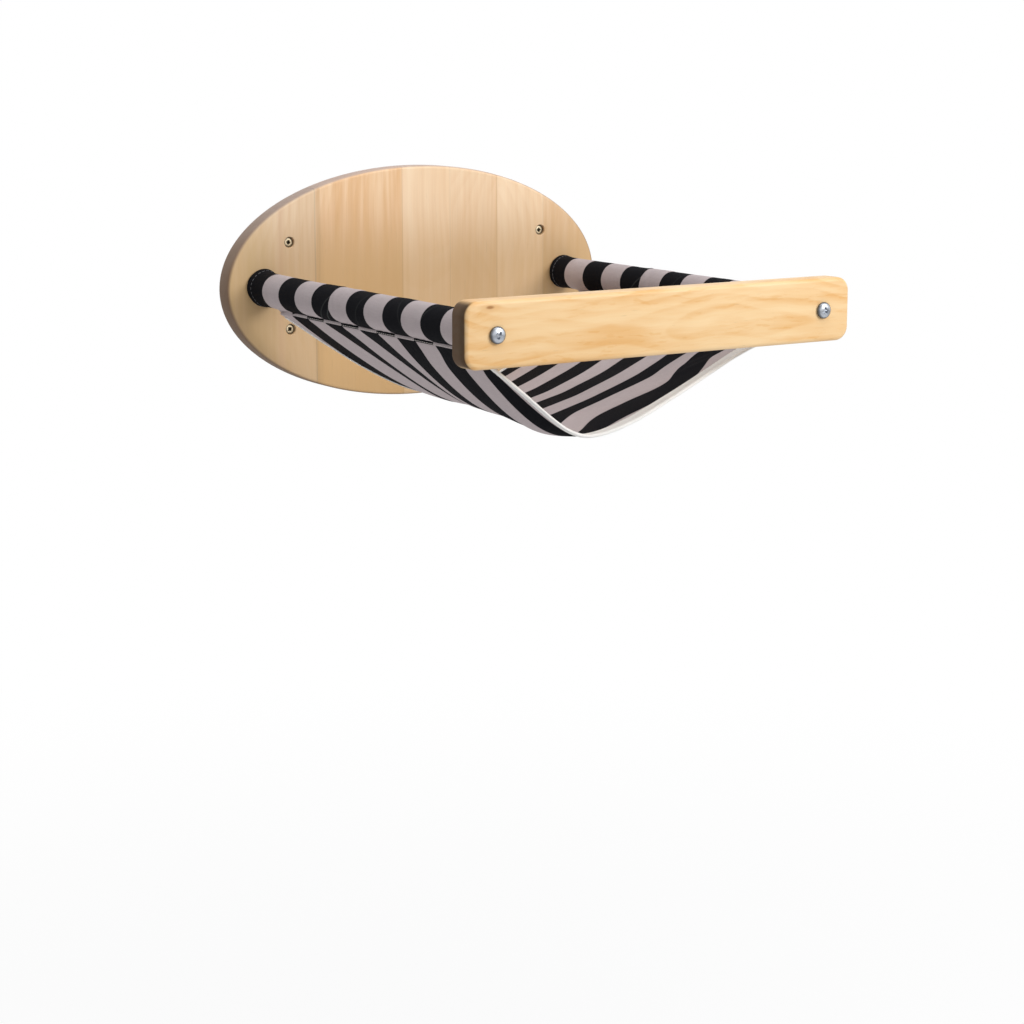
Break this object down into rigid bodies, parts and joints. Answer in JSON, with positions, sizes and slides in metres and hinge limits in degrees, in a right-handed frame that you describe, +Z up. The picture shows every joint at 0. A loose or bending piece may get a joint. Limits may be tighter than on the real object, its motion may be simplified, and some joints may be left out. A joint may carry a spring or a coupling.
{
  "type": "wall-mounted cat bed",
  "caption": "Canvas sling bed hung between two sleeved dowels that stand out from an oval wall board and are tied by a front bar, with screws for the wall.",
  "frame": {"origin": "centre of the oval back board's rear face, which lies on the wall", "axes": "+Z up, +X along the wall to the right seen from the room, -Y out from the wall towards the front bar"},
  "size_m": [0.37, 0.4278, 0.2],
  "materials": {
    "board_pine": "clear satin lacquer on pale edge-glued pine, grain upright",
    "bar_pine": "clear satin lacquer on honey-coloured pine, grain lengthwise",
    "dowel_wood": "sanded round wood",
    "insert_brass": "brass-coloured threaded insert",
    "bright_zinc": "bright zinc plate",
    "yellow_zinc": "yellow zinc plate",
    "striped_canvas": "plain-weave cotton canvas in even black and off-white stripes",
    "hem_canvas": "off-white cotton canvas hem with black stripe ends"
  },
  "bodies": {
    "root": {"backboard": "board_pine", "front_bar": "bar_pine", "dowel_left": "dowel_wood", "dowel_right": "dowel_wood", "insert_front_left": "insert_brass", "insert_front_right": "insert_brass", "insert_rear_left": "insert_brass", "insert_rear_right": "insert_brass", "front_bolt_left": "bright_zinc", "front_bolt_right": "bright_zinc", "rear_bolt_left": "bright_zinc", "rear_bolt_right": "bright_zinc", "wall_screw_upper_left": "yellow_zinc", "wall_screw_lower_left": "yellow_zinc", "wall_screw_upper_right": "yellow_zinc", "wall_screw_lower_right": "yellow_zinc", "sleeve_left": "striped_canvas", "sleeve_right": "striped_canvas", "sling_panel": "striped_canvas", "edge_hem_rear": "hem_canvas", "edge_hem_front": "hem_canvas", "seam_hem_left": "hem_canvas", "seam_hem_right": "hem_canvas"}
  },
  "joints": []
}
